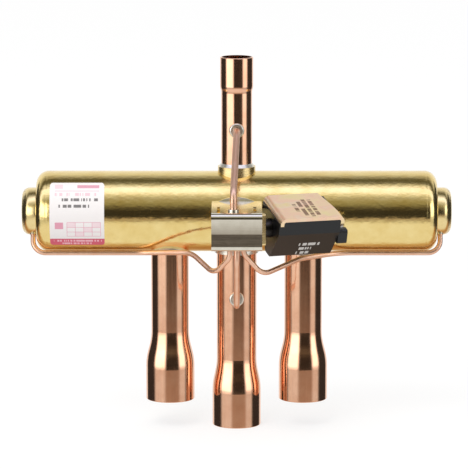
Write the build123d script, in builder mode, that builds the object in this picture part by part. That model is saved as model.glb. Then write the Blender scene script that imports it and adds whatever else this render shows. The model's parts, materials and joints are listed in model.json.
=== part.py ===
from build123d import *
from math import cos, radians, sin, sqrt, tan
import os

os.makedirs("parts", exist_ok=True)

# Four way reversing valve, millimetres. The origin is the centre of the suction mouth,
# Z runs up through the suction and discharge ports, X runs along the body to the coil.

# Body
body_od = 35.0
body_wall = 1.6
body_length = 173.3
shoulder_radius = 5.4
suction_reach = 94.5

# End caps
cap_od = 20.4
cap_wall = 1.5
cap_projection = 6.2
cap_corner = 3.2
cap_lip = 1.5

# Ports
port_pitch = 29.0
port_od = 17.4
side_port_od = 16.4
port_wall = 1.0
socket_od = 21.2
socket_depth = 18.0
flare_length = 9.0
side_port_lift = 11.5
discharge_od = 13.3
discharge_wall = 0.7
discharge_socket_od = 14.25
discharge_socket_depth = 13.2
discharge_flare = 1.4
discharge_reach = 67.2
flare_blend = 3.0
mouth_round = 0.3

# Valve seat, slide and carrier
seat_drop = 6.0
seat_web = 3.5
seat_end_gap = 1.45
seat_port_diameter = 13.0
slide_land = 3.5
slide_side_land = 4.5
slide_foot_height = 3.0
slide_height = 14.0
slide_wall = 2.2
slide_crown = 6.6
carrier_gap = 3.9
carrier_thickness = 1.5
carrier_bend = 1.0
carrier_corner = 4.8
flow_hole_diameter = 13.0

# Pistons
end_gap = 0.3
running_gap = 0.1
disc_thickness = 3.0
disc_gap = 0.5
seal_thickness = 0.9
seal_lip = 3.0
spring_leaf = 0.3
leaf_count = 12
leaf_slit = 1.0
plate_gap = 3.9
piston_plate_thickness = 2.8
screw_circle = 6.0
screw_count = 3
screw_diameter = 3.0
screw_head_diameter = 5.2
screw_head_height = 1.8

# Discharge spud and braze
spud_od = 16.3
spud_rise = 2.3
braze_height = 1.3
braze_leg = 0.9

# Pilot valve, laid along its own yawed axis
pilot_yaw = 18.0
pilot_stand_off = 24.5
pilot_drop = 1.0
pilot_width = 9.0
pilot_height = 13.6
pilot_corner = 1.0
pilot_left = -7.0
pilot_right = 11.4
pilot_bore = 7.0
pilot_pitch = 3.0
pilot_seat_drop = 1.2
pilot_seat_web = 1.0
pilot_seat_end = 6.0
pilot_port_diameter = 1.0
pilot_slide_height = 2.3
pilot_foot_height = 0.8
pilot_foot_land = 0.8
pilot_foot_width = 3.4
pilot_foot_corner = 0.5
pilot_dome_step = 0.6
pilot_dome_width = 2.2
slide_frame_thickness = 0.8
slide_frame_width = 4.0
slide_frame_tongue = 2.0
plug_thickness = 1.6
guide_od = 8.0
guide_wall = 0.4
guide_engagement = 3.0
plunger_length = 16.0
plunger_chamfer = 0.3
core_length = 9.0
core_shoulder = 1.5
shading_rim = 0.5
shading_width = 0.7
shading_depth = 1.4
spring_wire = 0.4
spring_diameter = 3.4
spring_turns = 6
spring_pocket = 9.0

# Coil
coil_tilt = 16.0
coil_centre = 29.2
yoke_length = 28.2
yoke_width = 24.0
yoke_rise = 9.4
yoke_thickness = 1.5
yoke_bend = 2.4
yoke_leg_radius = 6.0
yoke_shoulder = 1.0
yoke_clip = 4.2
coil_gap = 0.15
moulding_inset = 0.3
moulding_band = 6.1
moulding_bottom = 12.2
moulding_foot_width = 6.4
moulding_corner = 1.8
moulding_cover = 0.4
bobbin_wall = 0.9
bobbin_flange = 1.2
winding_radius = 6.8
flange_radius = 7.1
outlet_offset = 8.4
outlet_level = -1.2
outlet_width = 4.2
outlet_height = 6.4
outlet_corner = 1.2
outlet_length = 2.6
coil_screw_diameter = 4.0
coil_screw_head = 7.6
coil_screw_head_height = 3.0
coil_screw_head_chamfer = 0.8
coil_screw_grip = 7.0
screw_slot_length = 5.0
screw_slot_width = 1.0
screw_slot_depth = 1.4
washer_od = 8.0
washer_thickness = 0.8

# Bracket
bracket_width = 21.3
bracket_thickness = 1.2
bracket_overhang = 8.5
bracket_fold_drop = 1.7
bracket_bottom_drop = 9.2
bracket_lean = 4.5
bracket_bend = 1.0
bracket_hem = 3.0
tongue_width = 15.3
tongue_slot = 1.3
tongue_slot_length = 16.0
tongue_slot_margin = 0.6
tongue_curl = 1.7

# Capillaries
discharge_capillary_od = 2.9
suction_capillary_od = 2.6
side_capillary_od = 2.2
discharge_tap_height = 36.0
suction_tap_drop = 37.3
tap_ring_diameter = 6.5
tap_ring_height = 1.0
tap_ring_round = 0.8
capillary_gap = 0.3
capillary_insertion = 0.4
bead_width = 0.9
bead_height = 0.8
cap_bead_height = 0.5
cap_bead_depth = 0.7
side_route_reach = 8.4
side_route_bend = 5.5
discharge_run = 7.35
discharge_drop = 7.5
discharge_bend = 5.5
discharge_turn = 7.0
suction_drop = 7.2
suction_run = 17.3
suction_bend = 8.0
suction_turn = 6.0
left_drop = 4.9
left_loop = 9.4
left_loop_back = 4.5
left_loop_drop = 3.4
left_climb = 19.5
left_climb_back = 18.5
left_climb_rise = 3.4
left_join = 40.0
left_bends = [5.0, 7.0, 15.0, 12.0]
right_drop = 3.7
right_loop = 11.0
right_loop_back = 6.0
right_loop_drop = 4.0
right_climb = 27.0
right_climb_back = 20.0
right_climb_rise = 0.4
right_join = 44.0
right_bends = [5.0, 8.0, 20.0, 20.0]

# Label
label_length = 23.4
label_height = 26.8
label_corner = 1.3
label_thickness = 0.12
label_centre = -68.5
label_lift = 0.6

# Worked out from the sizes above
axis_height = suction_reach
body_radius = body_od / 2
bore_radius = body_radius - body_wall
half_length = body_length / 2
chamber_half = half_length - shoulder_radius
cap_radius = cap_od / 2
cap_bore = cap_radius - cap_wall
port_radius = port_od / 2
port_row = ((-port_pitch, side_port_od), (0, port_od), (port_pitch, side_port_od))
stroke = port_pitch
pilot_reach = body_radius + pilot_stand_off
bracket_front = pilot_reach + bracket_overhang
seat_height = axis_height - seat_drop
tube_stop = seat_height - seat_web
tap_height = axis_height + discharge_tap_height
tap_low = axis_height - suction_tap_drop

body_plane = Plane(origin=(0, 0, axis_height), x_dir=(1, 0, 0), z_dir=(0, -1, 0))
body_axis = Axis((0, 0, axis_height), (1, 0, 0))
pilot_dir = (cos(radians(pilot_yaw)), sin(radians(pilot_yaw)), 0)
pilot_frame = Plane(
    origin=(0, -pilot_reach, axis_height - pilot_drop), x_dir=pilot_dir, z_dir=(0, 0, 1)
)
coil_normal = (
    sin(radians(coil_tilt)) * sin(radians(pilot_yaw)),
    -sin(radians(coil_tilt)) * cos(radians(pilot_yaw)),
    cos(radians(coil_tilt)),
)
coil_frame = Plane(origin=pilot_frame.origin, x_dir=pilot_dir, z_dir=coil_normal)
pilot_axis = Axis(pilot_frame.origin, pilot_frame.x_dir)
pilot_side = Plane(
    origin=pilot_frame.origin, x_dir=pilot_frame.x_dir, z_dir=-pilot_frame.y_dir
)


# Plane across a frame's X axis at a station: its X is the frame's Y, its Y the frame's Z
def section_at(frame, station):
    centre = frame.from_local_coords((station, 0, 0))
    return Plane(origin=centre, x_dir=frame.y_dir, z_dir=frame.x_dir)


# Plane across the body at x, with its X along world Y and its Y up
def body_section(x):
    return Plane(origin=(x, 0, axis_height), x_dir=(0, 1, 0), z_dir=(1, 0, 0))


# ---------------------------------------------------------------- body and end caps
with BuildPart() as body_tube:
    with BuildSketch(body_plane):
        RectangleRounded(body_length, body_od, shoulder_radius)
        RectangleRounded(
            body_length - 2 * body_wall,
            body_od - 2 * body_wall,
            shoulder_radius - body_wall,
            mode=Mode.SUBTRACT,
        )
        Rectangle(body_length, cap_od, mode=Mode.SUBTRACT)
        Rectangle(
            body_length, body_od, align=(Align.CENTER, Align.MAX), mode=Mode.SUBTRACT
        )
    revolve(axis=body_axis)
    with BuildSketch(Plane.XY.offset(axis_height - body_od)):
        for x, diameter in port_row:
            with Locations((x, 0)):
                Circle(diameter / 2)
    extrude(amount=body_od, mode=Mode.SUBTRACT)
    with BuildSketch(Plane.XY.offset(axis_height)):
        Circle(discharge_od / 2)
    extrude(amount=body_od, mode=Mode.SUBTRACT)
body_tube.part.label = "body_tube"
export_step(body_tube.part, "parts/body_tube.step")

capillary_ring = body_radius + capillary_gap + side_capillary_od / 2
cap_tap_x = half_length + side_capillary_od / 2 + capillary_gap
route_y = -side_route_reach
route_z = -sqrt(capillary_ring**2 - side_route_reach**2)
tap_y = route_y / capillary_ring
tap_z = route_z / capillary_ring


def end_cap(side):
    with BuildPart() as cap:
        with BuildSketch(body_plane):
            with BuildLine():
                FilletPolyline(
                    (chamber_half, cap_radius),
                    (half_length + cap_projection, cap_radius),
                    (half_length + cap_projection, 0),
                    radius=cap_corner,
                )
                Line((half_length + cap_projection, 0), (chamber_half, 0))
                Line((chamber_half, 0), (chamber_half, cap_radius))
            make_face()
            with Locations((chamber_half, 0)):
                Rectangle(
                    half_length - body_wall - chamber_half,
                    cap_radius + cap_lip,
                    align=(Align.MIN, Align.MIN),
                )
            with BuildLine():
                FilletPolyline(
                    (chamber_half, cap_bore),
                    (half_length + cap_projection - cap_wall, cap_bore),
                    (half_length + cap_projection - cap_wall, 0),
                    radius=cap_corner - cap_wall,
                )
                Line((half_length + cap_projection - cap_wall, 0), (chamber_half, 0))
                Line((chamber_half, 0), (chamber_half, cap_bore))
            make_face(mode=Mode.SUBTRACT)
        revolve(axis=body_axis)
        with BuildSketch(
            Plane(
                origin=(cap_tap_x, 0, axis_height),
                x_dir=(1, 0, 0),
                z_dir=(0, tap_y, tap_z),
            )
        ):
            Circle(side_capillary_od / 2)
        extrude(amount=cap_od, mode=Mode.SUBTRACT)
        if side < 0:
            mirror(about=Plane.YZ, mode=Mode.REPLACE)
    return cap


end_cap_left = end_cap(-1)
end_cap_left.part.label = "end_cap_left"
export_step(end_cap_left.part, "parts/end_cap_left.step")

end_cap_right = end_cap(1)
end_cap_right.part.label = "end_cap_right"
export_step(end_cap_right.part, "parts/end_cap_right.step")

# ---------------------------------------------------------------- valve seat
# Stack of one piston, from the plate's outer face in to the carrier's tab
assembly_half = chamber_half - stroke / 2 - end_gap
plate_inner = assembly_half - piston_plate_thickness
leaf_inner = plate_inner - spring_leaf
seal_inner = leaf_inner - seal_thickness
disc_inner = seal_inner - disc_thickness
seat_half = disc_inner - carrier_thickness - stroke / 2 - seat_end_gap

with BuildPart() as valve_seat:
    with BuildSketch(body_section(0)):
        Circle(bore_radius)
        with Locations((0, -seat_drop)):
            Rectangle(
                body_od, body_od, align=(Align.CENTER, Align.MIN), mode=Mode.SUBTRACT
            )
    extrude(amount=seat_half, both=True)
    with BuildSketch(Plane.XY.offset(tube_stop)):
        for x, diameter in port_row:
            with Locations((x, 0)):
                Circle(diameter / 2)
    extrude(amount=-body_radius, mode=Mode.SUBTRACT)
    with BuildSketch(Plane.XY.offset(tube_stop)):
        with GridLocations(port_pitch, 0, 3, 1):
            Circle(seat_port_diameter / 2)
    extrude(amount=body_radius, mode=Mode.SUBTRACT)
valve_seat.part.label = "valve_seat"
export_step(valve_seat.part, "parts/valve_seat.step")


# ---------------------------------------------------------------- port tubes
# A drawn tube from its stop to its expanded mouth, tapped at the front if asked
def port_tube(x, stop, mouth, diameter, wall, socket, depth, flare, tap, tap_diameter):
    up = 1 if mouth > stop else -1
    neck = mouth - up * (depth + flare)
    seat = mouth - up * depth
    blend = flare_blend * flare
    inner = diameter / 2 - wall
    side = Plane(origin=(x, 0, 0), x_dir=(1, 0, 0), z_dir=(0, -1, 0))
    with BuildPart() as tube:
        with BuildSketch(side):
            with BuildLine():
                FilletPolyline(
                    (diameter / 2, stop),
                    (diameter / 2, neck),
                    (socket / 2, seat),
                    (socket / 2, mouth),
                    radius=blend,
                )
                Line((socket / 2, mouth), (socket / 2 - wall, mouth))
                FilletPolyline(
                    (socket / 2 - wall, mouth),
                    (socket / 2 - wall, seat),
                    (inner, neck),
                    (inner, stop),
                    radius=blend,
                )
                Line((inner, stop), (diameter / 2, stop))
            make_face()
        revolve(axis=Axis((x, 0, 0), (0, 0, 1)))
        rim = tube.edges().filter_by(GeomType.CIRCLE).group_by(Axis.Z)[-1 if up > 0 else 0]
        fillet(rim.sort_by(SortBy.RADIUS)[-1], mouth_round)
        if tap:
            with BuildSketch(Plane(origin=(x, 0, tap), x_dir=(1, 0, 0), z_dir=(0, -1, 0))):
                Circle(tap_diameter / 2)
            extrude(amount=diameter, mode=Mode.SUBTRACT)
    return tube


suction_tube = port_tube(
    0, tube_stop, 0, port_od, port_wall, socket_od, socket_depth, flare_length,
    tap_low, suction_capillary_od,
)
suction_tube.part.label = "suction_tube"
export_step(suction_tube.part, "parts/suction_tube.step")

for name, x in (("left_tube", -port_pitch), ("right_tube", port_pitch)):
    side_tube = port_tube(
        x, tube_stop, side_port_lift, side_port_od, port_wall, socket_od, socket_depth,
        flare_length, None, None,
    )
    side_tube.part.label = name
    export_step(side_tube.part, f"parts/{name}.step")

discharge_mouth = axis_height + discharge_reach
discharge_tube = port_tube(
    0, axis_height + bore_radius, discharge_mouth, discharge_od, discharge_wall,
    discharge_socket_od, discharge_socket_depth, discharge_flare,
    tap_height, discharge_capillary_od,
)
discharge_tube.part.label = "discharge_tube"
export_step(discharge_tube.part, "parts/discharge_tube.step")

# ---------------------------------------------------------------- spud and braze
spud_top = axis_height + body_radius + spud_rise

with BuildPart() as discharge_spud:
    with BuildSketch(Plane.XY.offset(axis_height)):
        Circle(spud_od / 2)
        Circle(discharge_od / 2, mode=Mode.SUBTRACT)
    extrude(amount=spud_top - axis_height)
    with BuildSketch(body_section(0)):
        Circle(body_radius)
    extrude(amount=spud_od, both=True, mode=Mode.SUBTRACT)
discharge_spud.part.label = "discharge_spud"
export_step(discharge_spud.part, "parts/discharge_spud.step")

with BuildPart() as discharge_braze:
    with BuildSketch(Plane.XZ):
        with BuildLine():
            Polyline(
                (discharge_od / 2, spud_top),
                (discharge_od / 2 + braze_leg, spud_top),
                (discharge_od / 2, spud_top + braze_height),
                close=True,
            )
        make_face()
    revolve(axis=Axis.Z)
discharge_braze.part.label = "discharge_braze"
export_step(discharge_braze.part, "parts/discharge_braze.step")

with BuildPart() as tube_braze_rings:
    with BuildSketch(Plane.XY.offset(axis_height - body_radius - braze_leg / 2)):
        for x, diameter in port_row:
            with Locations((x, 0)):
                Circle(diameter / 2 + braze_leg)
                Circle(diameter / 2, mode=Mode.SUBTRACT)
    extrude(amount=body_radius)
    with BuildSketch(body_section(0)):
        Circle(body_radius)
    extrude(amount=half_length, both=True, mode=Mode.SUBTRACT)
tube_braze_rings.part.label = "tube_braze_rings"
export_step(tube_braze_rings.part, "parts/tube_braze_rings.step")

taps = (
    (tap_height, discharge_od, discharge_capillary_od),
    (tap_low, port_od, suction_capillary_od),
)

with BuildPart() as port_braze_rings:
    for height, tube, _ in taps:
        with BuildSketch(Plane(origin=(0, 0, height), x_dir=(1, 0, 0), z_dir=(0, -1, 0))):
            Circle(tap_ring_diameter / 2)
        extrude(amount=tube / 2 + tap_ring_height)
    outer_rims = port_braze_rings.edges().filter_by(GeomType.CIRCLE).group_by(Axis.Y)
    fillet(outer_rims[0] + outer_rims[1], tap_ring_round)
    for height, tube, hole in taps:
        with BuildSketch(Plane.XY.offset(height)):
            Circle(tube / 2)
        extrude(amount=tube, both=True, mode=Mode.SUBTRACT)
        with BuildSketch(Plane(origin=(0, 0, height), x_dir=(1, 0, 0), z_dir=(0, -1, 0))):
            Circle(hole / 2)
        extrude(amount=tube, mode=Mode.SUBTRACT)
port_braze_rings.part.label = "port_braze_rings"
export_step(port_braze_rings.part, "parts/port_braze_rings.step")

# ---------------------------------------------------------------- main slide
slide_rest = -stroke / 2
foot_length = port_pitch + seat_port_diameter + 2 * slide_land
foot_width = seat_port_diameter + 2 * slide_side_land
dome_length = foot_length - 2 * slide_land + slide_wall
dome_width = seat_port_diameter + 2 * slide_wall
slide_bottom = seat_height + running_gap

with BuildPart() as slide_block:
    with BuildSketch(Plane.XY.offset(slide_bottom)):
        with Locations((slide_rest, 0)):
            SlotOverall(foot_length, foot_width)
    extrude(amount=slide_foot_height)
    with BuildSketch(Plane.XY.offset(slide_bottom)):
        with Locations((slide_rest, 0)):
            SlotOverall(dome_length, dome_width)
    extrude(amount=slide_height)
    fillet(slide_block.faces().sort_by(Axis.Z)[-1].edges(), slide_crown)
    with BuildSketch(Plane.XY.offset(slide_bottom)):
        with Locations((slide_rest, 0)):
            SlotOverall(dome_length - 2 * slide_wall, dome_width - 2 * slide_wall)
    extrude(amount=slide_height - slide_wall, mode=Mode.SUBTRACT)
slide_block.part.label = "slide_block"
export_step(slide_block.part, "parts/slide_block.step")

carrier_level = slide_bottom + slide_foot_height
carrier_width = 2 * (bore_radius - carrier_gap)
carrier_top = axis_height + bore_radius - carrier_gap
seal_radius = bore_radius - running_gap
piston_plate_radius = bore_radius - plate_gap

with BuildPart() as carrier_plate:
    with BuildSketch(Plane(origin=(slide_rest, 0, 0), x_dir=(1, 0, 0), z_dir=(0, -1, 0))):
        with BuildLine():
            FilletPolyline(
                (-disc_inner, carrier_top),
                (-disc_inner, carrier_level),
                (disc_inner, carrier_level),
                (disc_inner, carrier_top),
                radius=carrier_bend + carrier_thickness,
            )
            offset(amount=carrier_thickness, side=Side.LEFT)
        make_face()
    extrude(amount=carrier_width / 2, both=True)
    with BuildSketch(Plane.XY.offset(carrier_level)):
        with Locations((slide_rest, 0)):
            SlotOverall(dome_length + 2 * running_gap, dome_width + 2 * running_gap)
        with Locations((slide_rest - port_pitch * 1.5, 0), (slide_rest + port_pitch * 1.5, 0)):
            Circle(flow_hole_diameter / 2)
    extrude(amount=carrier_thickness, mode=Mode.SUBTRACT)
    with BuildSketch(body_section(slide_rest)):
        with PolarLocations(screw_circle, screw_count, start_angle=90):
            Circle(screw_diameter / 2)
    extrude(amount=disc_inner, both=True, mode=Mode.SUBTRACT)
    tab_tops = carrier_plate.edges().filter_by(Axis.X).group_by(Axis.Z)[-1]
    fillet(tab_tops, carrier_corner)
carrier_plate.part.label = "carrier_plate"
export_step(carrier_plate.part, "parts/carrier_plate.step")


def piston_station(side, distance):
    return slide_rest + side * distance


for side, hand in ((-1, "left"), (1, "right")):
    with BuildPart() as piston_disc:
        with BuildSketch(body_section(piston_station(side, disc_inner))):
            Circle(bore_radius - disc_gap)
            with PolarLocations(screw_circle, screw_count, start_angle=90):
                Circle(screw_diameter / 2, mode=Mode.SUBTRACT)
        extrude(amount=side * disc_thickness)
    piston_disc.part.label = f"piston_disc_{hand}"
    export_step(piston_disc.part, f"parts/piston_disc_{hand}.step")

    with BuildPart() as piston_seal:
        with BuildSketch(body_section(piston_station(side, seal_inner))):
            Circle(seal_radius)
            with PolarLocations(screw_circle, screw_count, start_angle=90):
                Circle(screw_diameter / 2, mode=Mode.SUBTRACT)
        extrude(amount=side * seal_thickness)
        with BuildSketch(body_section(piston_station(side, leaf_inner))):
            Circle(seal_radius)
            Circle(seal_radius - seal_thickness, mode=Mode.SUBTRACT)
        extrude(amount=side * (seal_lip - seal_thickness))
    piston_seal.part.label = f"piston_seal_{hand}"
    export_step(piston_seal.part, f"parts/piston_seal_{hand}.step")

    with BuildPart() as seal_spring:
        with BuildSketch(body_section(piston_station(side, leaf_inner))):
            Circle(seal_radius - seal_thickness - running_gap)
            with PolarLocations(seal_radius, leaf_count):
                Rectangle(2 * (seal_radius - piston_plate_radius), leaf_slit, mode=Mode.SUBTRACT)
            with PolarLocations(screw_circle, screw_count, start_angle=90):
                Circle(screw_diameter / 2, mode=Mode.SUBTRACT)
        extrude(amount=side * spring_leaf)
    seal_spring.part.label = f"seal_spring_{hand}"
    export_step(seal_spring.part, f"parts/seal_spring_{hand}.step")

    with BuildPart() as piston_plate:
        with BuildSketch(body_section(piston_station(side, plate_inner))):
            Circle(piston_plate_radius)
            with PolarLocations(screw_circle, screw_count, start_angle=90):
                Circle(screw_diameter / 2, mode=Mode.SUBTRACT)
        extrude(amount=side * piston_plate_thickness)
    piston_plate.part.label = f"piston_plate_{hand}"
    export_step(piston_plate.part, f"parts/piston_plate_{hand}.step")

with BuildPart() as piston_screws:
    for side in (-1, 1):
        with BuildSketch(body_section(piston_station(side, disc_inner - carrier_thickness))):
            with PolarLocations(screw_circle, screw_count, start_angle=90):
                Circle(screw_diameter / 2)
        extrude(amount=side * (assembly_half - disc_inner + carrier_thickness))
        with BuildSketch(body_section(piston_station(side, assembly_half))):
            with PolarLocations(screw_circle, screw_count, start_angle=90):
                Circle(screw_head_diameter / 2)
        extrude(amount=side * screw_head_height)
piston_screws.part.label = "piston_screws"
export_step(piston_screws.part, "parts/piston_screws.step")

# ---------------------------------------------------------------- pilot valve
pilot_bore_radius = pilot_bore / 2
guide_radius = guide_od / 2
guide_bore = guide_radius - guide_wall
guide_start = pilot_right - guide_engagement
plug_inner = pilot_left + plug_thickness
socket_level = -pilot_seat_drop - pilot_seat_web
capillary_stations = (
    (-pilot_pitch, side_capillary_od),
    (0, suction_capillary_od),
    (pilot_pitch, side_capillary_od),
)
discharge_tap_station = -pilot_pitch / 2

with BuildPart() as pilot_body:
    with BuildSketch(section_at(pilot_frame, pilot_left)):
        RectangleRounded(pilot_width, pilot_height, pilot_corner)
    extrude(amount=pilot_right - pilot_left)
    with BuildSketch(section_at(pilot_frame, pilot_left)):
        Circle(pilot_bore_radius)
    extrude(amount=pilot_right - pilot_left, mode=Mode.SUBTRACT)
    with BuildSketch(section_at(pilot_frame, guide_start)):
        Circle(guide_radius)
    extrude(amount=guide_engagement, mode=Mode.SUBTRACT)
    with BuildSketch(pilot_frame):
        for station, diameter in capillary_stations:
            with Locations((station, 0)):
                Circle(diameter / 2)
    extrude(amount=-pilot_height, mode=Mode.SUBTRACT)
    with BuildSketch(pilot_frame):
        with Locations((discharge_tap_station, 0)):
            Circle(discharge_capillary_od / 2)
    extrude(amount=pilot_height, mode=Mode.SUBTRACT)
pilot_body.part.label = "pilot_body"
export_step(pilot_body.part, "parts/pilot_body.step")

with BuildPart() as pilot_end_plug:
    with BuildSketch(section_at(pilot_frame, pilot_left)):
        Circle(pilot_bore_radius)
    extrude(amount=plug_thickness)
pilot_end_plug.part.label = "pilot_end_plug"
export_step(pilot_end_plug.part, "parts/pilot_end_plug.step")

with BuildPart() as pilot_seat:
    with BuildSketch(section_at(pilot_frame, plug_inner)):
        Circle(pilot_bore_radius)
        with Locations((0, -pilot_seat_drop)):
            Rectangle(
                pilot_bore, pilot_bore, align=(Align.CENTER, Align.MIN), mode=Mode.SUBTRACT
            )
    extrude(amount=pilot_seat_end - plug_inner)
    with BuildSketch(pilot_frame.offset(socket_level)):
        for station, diameter in capillary_stations:
            with Locations((station, 0)):
                Circle(diameter / 2)
    extrude(amount=-pilot_bore, mode=Mode.SUBTRACT)
    with BuildSketch(pilot_frame.offset(socket_level)):
        for station, diameter in capillary_stations:
            with Locations((station, 0)):
                Circle(pilot_port_diameter / 2)
    extrude(amount=pilot_bore, mode=Mode.SUBTRACT)
pilot_seat.part.label = "pilot_seat"
export_step(pilot_seat.part, "parts/pilot_seat.step")

pilot_slide_level = -pilot_seat_drop + running_gap
pilot_foot_length = pilot_pitch + pilot_port_diameter + 2 * pilot_foot_land
pilot_dome_length = pilot_foot_length - 2 * pilot_dome_step
pilot_slide_station = -pilot_pitch / 2

with BuildPart() as pilot_slide:
    with BuildSketch(pilot_frame.offset(pilot_slide_level)):
        with Locations((pilot_slide_station, 0)):
            RectangleRounded(pilot_foot_length, pilot_foot_width, pilot_foot_corner)
    extrude(amount=pilot_foot_height)
    with BuildSketch(pilot_frame.offset(pilot_slide_level)):
        with Locations((pilot_slide_station, 0)):
            SlotOverall(pilot_dome_length, pilot_dome_width)
    extrude(amount=pilot_slide_height)
    with BuildSketch(pilot_frame.offset(pilot_slide_level)):
        with Locations((pilot_slide_station, 0)):
            SlotOverall(pilot_pitch + pilot_port_diameter, pilot_port_diameter)
    extrude(amount=pilot_foot_height, mode=Mode.SUBTRACT)
pilot_slide.part.label = "pilot_slide"
export_step(pilot_slide.part, "parts/pilot_slide.step")

# The plunger rests one pilot stroke away from the fixed core
core_end = coil_centre + yoke_length / 2 - yoke_thickness
core_start = core_end - core_length
plunger_end = core_start - pilot_pitch - end_gap
plunger_start = plunger_end - plunger_length
frame_level = pilot_slide_level + pilot_foot_height
frame_left = pilot_slide_station - pilot_dome_length / 2 - slide_frame_thickness
spring_inner = plunger_end - spring_pocket

with BuildPart() as plunger:
    with BuildSketch(section_at(pilot_frame, plunger_start)):
        Circle(guide_bore - running_gap)
    extrude(amount=plunger_length)
    chamfer(plunger.edges().filter_by(GeomType.CIRCLE), plunger_chamfer)
    with BuildSketch(section_at(pilot_frame, spring_inner)):
        Circle(spring_diameter / 2 + 2 * running_gap)
    extrude(amount=spring_pocket, mode=Mode.SUBTRACT)
    with BuildSketch(section_at(pilot_frame, plunger_start)):
        with Locations((0, frame_level + slide_frame_thickness / 2)):
            Rectangle(slide_frame_width, slide_frame_thickness)
    extrude(amount=slide_frame_tongue, mode=Mode.SUBTRACT)
plunger.part.label = "plunger"
export_step(plunger.part, "parts/plunger.step")

with BuildPart() as pilot_slide_frame:
    with BuildSketch(pilot_frame.offset(frame_level)):
        with Locations((frame_left, 0)):
            Rectangle(
                plunger_start + slide_frame_tongue - frame_left,
                slide_frame_width,
                align=(Align.MIN, Align.CENTER),
            )
        with Locations((pilot_slide_station, 0)):
            SlotOverall(
                pilot_dome_length + running_gap,
                pilot_dome_width + running_gap,
                mode=Mode.SUBTRACT,
            )
    extrude(amount=slide_frame_thickness)
pilot_slide_frame.part.label = "pilot_slide_frame"
export_step(pilot_slide_frame.part, "parts/pilot_slide_frame.step")

with BuildPart() as guide_tube:
    with BuildSketch(section_at(pilot_frame, guide_start)):
        Circle(guide_radius)
        Circle(guide_bore, mode=Mode.SUBTRACT)
    extrude(amount=core_end - core_shoulder - guide_start)
guide_tube.part.label = "guide_tube"
export_step(guide_tube.part, "parts/guide_tube.step")

shading_outer = guide_bore - shading_rim
shading_inner = shading_outer - shading_width

with BuildPart() as fixed_core:
    with BuildSketch(section_at(pilot_frame, core_start)):
        Circle(guide_bore)
    extrude(amount=core_length)
    with BuildSketch(section_at(pilot_frame, core_end - core_shoulder)):
        Circle(guide_radius)
    extrude(amount=core_shoulder)
    with BuildSketch(section_at(pilot_frame, core_start)):
        Circle(shading_outer)
        Circle(shading_inner, mode=Mode.SUBTRACT)
    extrude(amount=shading_depth, mode=Mode.SUBTRACT)
    with BuildSketch(section_at(pilot_frame, core_end)):
        Circle(coil_screw_diameter / 2)
    extrude(amount=-coil_screw_grip, mode=Mode.SUBTRACT)
fixed_core.part.label = "fixed_core"
export_step(fixed_core.part, "parts/fixed_core.step")

with BuildPart() as shading_ring:
    with BuildSketch(section_at(pilot_frame, core_start)):
        Circle(shading_outer)
        Circle(shading_inner, mode=Mode.SUBTRACT)
    extrude(amount=shading_depth)
shading_ring.part.label = "shading_ring"
export_step(shading_ring.part, "parts/shading_ring.step")

spring_length = core_start - spring_inner - spring_wire
spring_radius = (spring_diameter - spring_wire) / 2
spring_start = pilot_frame.from_local_coords((spring_inner + spring_wire / 2, 0, 0))

with BuildPart() as pilot_spring:
    with BuildLine():
        coil_line = Helix(
            pitch=spring_length / spring_turns,
            height=spring_length,
            radius=spring_radius,
            center=spring_start,
            direction=pilot_dir,
        )
    with BuildSketch(Plane(origin=coil_line @ 0, z_dir=coil_line % 0)):
        Circle(spring_wire / 2)
    sweep(path=coil_line, is_frenet=True)
pilot_spring.part.label = "pilot_spring"
export_step(pilot_spring.part, "parts/pilot_spring.step")

# ---------------------------------------------------------------- coil
yoke_left = coil_centre - yoke_length / 2
yoke_right = coil_centre + yoke_length / 2
yoke_inner = yoke_rise - yoke_thickness
coil_left = yoke_left + yoke_thickness
coil_right = yoke_right - yoke_thickness
bobbin_bore = guide_radius + coil_gap
bobbin_radius = bobbin_bore + bobbin_wall
winding_left = coil_left + 2 * bobbin_flange
winding_right = coil_right - 2 * bobbin_flange
coil_side = Plane(origin=coil_frame.origin, x_dir=coil_frame.x_dir, z_dir=-coil_frame.y_dir)

with BuildPart() as coil_yoke:
    with BuildSketch(coil_side):
        with BuildLine():
            FilletPolyline(
                (yoke_left, -yoke_leg_radius),
                (yoke_left, yoke_rise),
                (yoke_right, yoke_rise),
                (yoke_right, -yoke_leg_radius),
                radius=yoke_bend,
            )
            offset(amount=yoke_thickness, side=Side.RIGHT)
        make_face()
    extrude(amount=yoke_width / 2, both=True)
    # Both legs narrow to a round eye about the coil's axis
    with BuildSketch(section_at(coil_frame, yoke_left)):
        with BuildLine():
            Polyline(
                (-yoke_width / 2, -yoke_leg_radius),
                (-yoke_width / 2, yoke_rise - yoke_bend - yoke_shoulder),
                (-yoke_leg_radius, 0),
                (-yoke_leg_radius, -yoke_leg_radius),
                close=True,
            )
        make_face()
        mirror(about=Plane.YZ)
        Rectangle(
            2 * yoke_leg_radius, yoke_leg_radius, align=(Align.CENTER, Align.MAX)
        )
        Circle(yoke_leg_radius, mode=Mode.SUBTRACT)
    extrude(amount=yoke_length, mode=Mode.SUBTRACT)
    with BuildSketch(section_at(coil_frame, yoke_left)):
        Circle(bobbin_bore)
    extrude(amount=yoke_thickness, mode=Mode.SUBTRACT)
    with BuildSketch(section_at(coil_frame, yoke_right)):
        Circle(coil_screw_diameter / 2 + coil_gap)
    extrude(amount=-yoke_thickness, mode=Mode.SUBTRACT)
    # The web's screw end is cut on the slant, back from its front corner
    with BuildSketch(coil_frame):
        with BuildLine():
            Polyline(
                (yoke_right, -yoke_width / 2),
                (yoke_right, yoke_width / 2),
                (yoke_right - yoke_clip, yoke_width / 2),
                close=True,
            )
        make_face()
    extrude(amount=yoke_rise, mode=Mode.SUBTRACT)
coil_yoke.part.label = "coil_yoke"
export_step(coil_yoke.part, "parts/coil_yoke.step")

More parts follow.
